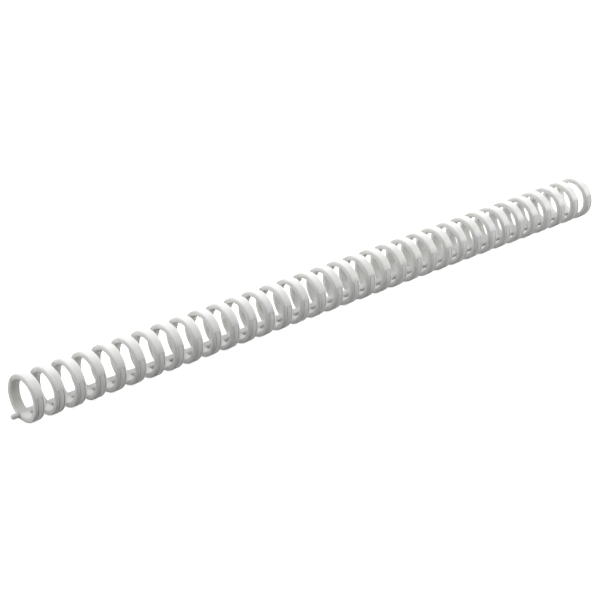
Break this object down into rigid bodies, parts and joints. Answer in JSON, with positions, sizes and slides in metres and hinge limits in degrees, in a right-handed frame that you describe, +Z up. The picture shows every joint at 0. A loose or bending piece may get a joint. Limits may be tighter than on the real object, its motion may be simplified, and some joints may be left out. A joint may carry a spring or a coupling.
{
  "type": "ring binding spine",
  "caption": "White plastic binding spine: a long row of closed rings on one bar, each ring opening at a film hinge and latching with a tongue and fork.",
  "frame": {"origin": "centre of the bounding box's bottom face: under the middle of the spine, on the surface the rings stand on", "axes": "+X along the spine, from the end with the peg to the other end; +Y towards the film hinges; +Z up"},
  "size_m": [0.2862, 0.0176, 0.0176],
  "materials": {
    "white_polypropylene": "satin, very fine moulded grain, slightly translucent at thin edges"
  },
  "bodies": {
    "spine": {"spine_bar": "white_polypropylene", "back_arms": "white_polypropylene", "latch_arms": "white_polypropylene"},
    "arm_01": {"closing_arm_01": "white_polypropylene"},
    "arm_02": {"closing_arm_02": "white_polypropylene"},
    "arm_03": {"closing_arm_03": "white_polypropylene"},
    "arm_04": {"closing_arm_04": "white_polypropylene"},
    "arm_05": {"closing_arm_05": "white_polypropylene"},
    "arm_06": {"closing_arm_06": "white_polypropylene"},
    "arm_07": {"closing_arm_07": "white_polypropylene"},
    "arm_08": {"closing_arm_08": "white_polypropylene"},
    "arm_09": {"closing_arm_09": "white_polypropylene"},
    "arm_10": {"closing_arm_10": "white_polypropylene"},
    "arm_11": {"closing_arm_11": "white_polypropylene"},
    "arm_12": {"closing_arm_12": "white_polypropylene"},
    "arm_13": {"closing_arm_13": "white_polypropylene"},
    "arm_14": {"closing_arm_14": "white_polypropylene"},
    "arm_15": {"closing_arm_15": "white_polypropylene"},
    "arm_16": {"closing_arm_16": "white_polypropylene"},
    "arm_17": {"closing_arm_17": "white_polypropylene"},
    "arm_18": {"closing_arm_18": "white_polypropylene"},
    "arm_19": {"closing_arm_19": "white_polypropylene"},
    "arm_20": {"closing_arm_20": "white_polypropylene"},
    "arm_21": {"closing_arm_21": "white_polypropylene"},
    "arm_22": {"closing_arm_22": "white_polypropylene"},
    "arm_23": {"closing_arm_23": "white_polypropylene"},
    "arm_24": {"closing_arm_24": "white_polypropylene"},
    "arm_25": {"closing_arm_25": "white_polypropylene"},
    "arm_26": {"closing_arm_26": "white_polypropylene"},
    "arm_27": {"closing_arm_27": "white_polypropylene"},
    "arm_28": {"closing_arm_28": "white_polypropylene"},
    "arm_29": {"closing_arm_29": "white_polypropylene"},
    "arm_30": {"closing_arm_30": "white_polypropylene"},
    "arm_31": {"closing_arm_31": "white_polypropylene"},
    "arm_32": {"closing_arm_32": "white_polypropylene"},
    "arm_33": {"closing_arm_33": "white_polypropylene"},
    "arm_34": {"closing_arm_34": "white_polypropylene"}
  },
  "joints": [
    {"name": "arm_hinge_01", "type": "hinge", "parent": "spine", "child": "arm_01", "pos_m": [-0.1383, 0.006, 0.01524], "axis": [-1, 0, 0], "range_deg": [0, 120]},
    {"name": "arm_hinge_02", "type": "hinge", "parent": "spine", "child": "arm_02", "pos_m": [-0.12983, 0.006, 0.01524], "axis": [-1, 0, 0], "range_deg": [0, 120]},
    {"name": "arm_hinge_03", "type": "hinge", "parent": "spine", "child": "arm_03", "pos_m": [-0.12137, 0.006, 0.01524], "axis": [-1, 0, 0], "range_deg": [0, 120]},
    {"name": "arm_hinge_04", "type": "hinge", "parent": "spine", "child": "arm_04", "pos_m": [-0.1129, 0.006, 0.01524], "axis": [-1, 0, 0], "range_deg": [0, 120]},
    {"name": "arm_hinge_05", "type": "hinge", "parent": "spine", "child": "arm_05", "pos_m": [-0.10443, 0.006, 0.01524], "axis": [-1, 0, 0], "range_deg": [0, 120]},
    {"name": "arm_hinge_06", "type": "hinge", "parent": "spine", "child": "arm_06", "pos_m": [-0.09597, 0.006, 0.01524], "axis": [-1, 0, 0], "range_deg": [0, 120]},
    {"name": "arm_hinge_07", "type": "hinge", "parent": "spine", "child": "arm_07", "pos_m": [-0.0875, 0.006, 0.01524], "axis": [-1, 0, 0], "range_deg": [0, 120]},
    {"name": "arm_hinge_08", "type": "hinge", "parent": "spine", "child": "arm_08", "pos_m": [-0.07903, 0.006, 0.01524], "axis": [-1, 0, 0], "range_deg": [0, 120]},
    {"name": "arm_hinge_09", "type": "hinge", "parent": "spine", "child": "arm_09", "pos_m": [-0.07057, 0.006, 0.01524], "axis": [-1, 0, 0], "range_deg": [0, 120]},
    {"name": "arm_hinge_10", "type": "hinge", "parent": "spine", "child": "arm_10", "pos_m": [-0.0621, 0.006, 0.01524], "axis": [-1, 0, 0], "range_deg": [0, 120]},
    {"name": "arm_hinge_11", "type": "hinge", "parent": "spine", "child": "arm_11", "pos_m": [-0.05363, 0.006, 0.01524], "axis": [-1, 0, 0], "range_deg": [0, 120]},
    {"name": "arm_hinge_12", "type": "hinge", "parent": "spine", "child": "arm_12", "pos_m": [-0.04517, 0.006, 0.01524], "axis": [-1, 0, 0], "range_deg": [0, 120]},
    {"name": "arm_hinge_13", "type": "hinge", "parent": "spine", "child": "arm_13", "pos_m": [-0.0367, 0.006, 0.01524], "axis": [-1, 0, 0], "range_deg": [0, 120]},
    {"name": "arm_hinge_14", "type": "hinge", "parent": "spine", "child": "arm_14", "pos_m": [-0.02823, 0.006, 0.01524], "axis": [-1, 0, 0], "range_deg": [0, 120]},
    {"name": "arm_hinge_15", "type": "hinge", "parent": "spine", "child": "arm_15", "pos_m": [-0.01977, 0.006, 0.01524], "axis": [-1, 0, 0], "range_deg": [0, 120]},
    {"name": "arm_hinge_16", "type": "hinge", "parent": "spine", "child": "arm_16", "pos_m": [-0.0113, 0.006, 0.01524], "axis": [-1, 0, 0], "range_deg": [0, 120]},
    {"name": "arm_hinge_17", "type": "hinge", "parent": "spine", "child": "arm_17", "pos_m": [-0.00283, 0.006, 0.01524], "axis": [-1, 0, 0], "range_deg": [0, 120]},
    {"name": "arm_hinge_18", "type": "hinge", "parent": "spine", "child": "arm_18", "pos_m": [0.00563, 0.006, 0.01524], "axis": [-1, 0, 0], "range_deg": [0, 120]},
    {"name": "arm_hinge_19", "type": "hinge", "parent": "spine", "child": "arm_19", "pos_m": [0.0141, 0.006, 0.01524], "axis": [-1, 0, 0], "range_deg": [0, 120]},
    {"name": "arm_hinge_20", "type": "hinge", "parent": "spine", "child": "arm_20", "pos_m": [0.02257, 0.006, 0.01524], "axis": [-1, 0, 0], "range_deg": [0, 120]},
    {"name": "arm_hinge_21", "type": "hinge", "parent": "spine", "child": "arm_21", "pos_m": [0.03103, 0.006, 0.01524], "axis": [-1, 0, 0], "range_deg": [0, 120]},
    {"name": "arm_hinge_22", "type": "hinge", "parent": "spine", "child": "arm_22", "pos_m": [0.0395, 0.006, 0.01524], "axis": [-1, 0, 0], "range_deg": [0, 120]},
    {"name": "arm_hinge_23", "type": "hinge", "parent": "spine", "child": "arm_23", "pos_m": [0.04797, 0.006, 0.01524], "axis": [-1, 0, 0], "range_deg": [0, 120]},
    {"name": "arm_hinge_24", "type": "hinge", "parent": "spine", "child": "arm_24", "pos_m": [0.05643, 0.006, 0.01524], "axis": [-1, 0, 0], "range_deg": [0, 120]},
    {"name": "arm_hinge_25", "type": "hinge", "parent": "spine", "child": "arm_25", "pos_m": [0.0649, 0.006, 0.01524], "axis": [-1, 0, 0], "range_deg": [0, 120]},
    {"name": "arm_hinge_26", "type": "hinge", "parent": "spine", "child": "arm_26", "pos_m": [0.07337, 0.006, 0.01524], "axis": [-1, 0, 0], "range_deg": [0, 120]},
    {"name": "arm_hinge_27", "type": "hinge", "parent": "spine", "child": "arm_27", "pos_m": [0.08183, 0.006, 0.01524], "axis": [-1, 0, 0], "range_deg": [0, 120]},
    {"name": "arm_hinge_28", "type": "hinge", "parent": "spine", "child": "arm_28", "pos_m": [0.0903, 0.006, 0.01524], "axis": [-1, 0, 0], "range_deg": [0, 120]},
    {"name": "arm_hinge_29", "type": "hinge", "parent": "spine", "child": "arm_29", "pos_m": [0.09877, 0.006, 0.01524], "axis": [-1, 0, 0], "range_deg": [0, 120]},
    {"name": "arm_hinge_30", "type": "hinge", "parent": "spine", "child": "arm_30", "pos_m": [0.10723, 0.006, 0.01524], "axis": [-1, 0, 0], "range_deg": [0, 120]},
    {"name": "arm_hinge_31", "type": "hinge", "parent": "spine", "child": "arm_31", "pos_m": [0.1157, 0.006, 0.01524], "axis": [-1, 0, 0], "range_deg": [0, 120]},
    {"name": "arm_hinge_32", "type": "hinge", "parent": "spine", "child": "arm_32", "pos_m": [0.12417, 0.006, 0.01524], "axis": [-1, 0, 0], "range_deg": [0, 120]},
    {"name": "arm_hinge_33", "type": "hinge", "parent": "spine", "child": "arm_33", "pos_m": [0.13263, 0.006, 0.01524], "axis": [-1, 0, 0], "range_deg": [0, 120]},
    {"name": "arm_hinge_34", "type": "hinge", "parent": "spine", "child": "arm_34", "pos_m": [0.1411, 0.006, 0.01524], "axis": [-1, 0, 0], "range_deg": [0, 120]}
  ]
}
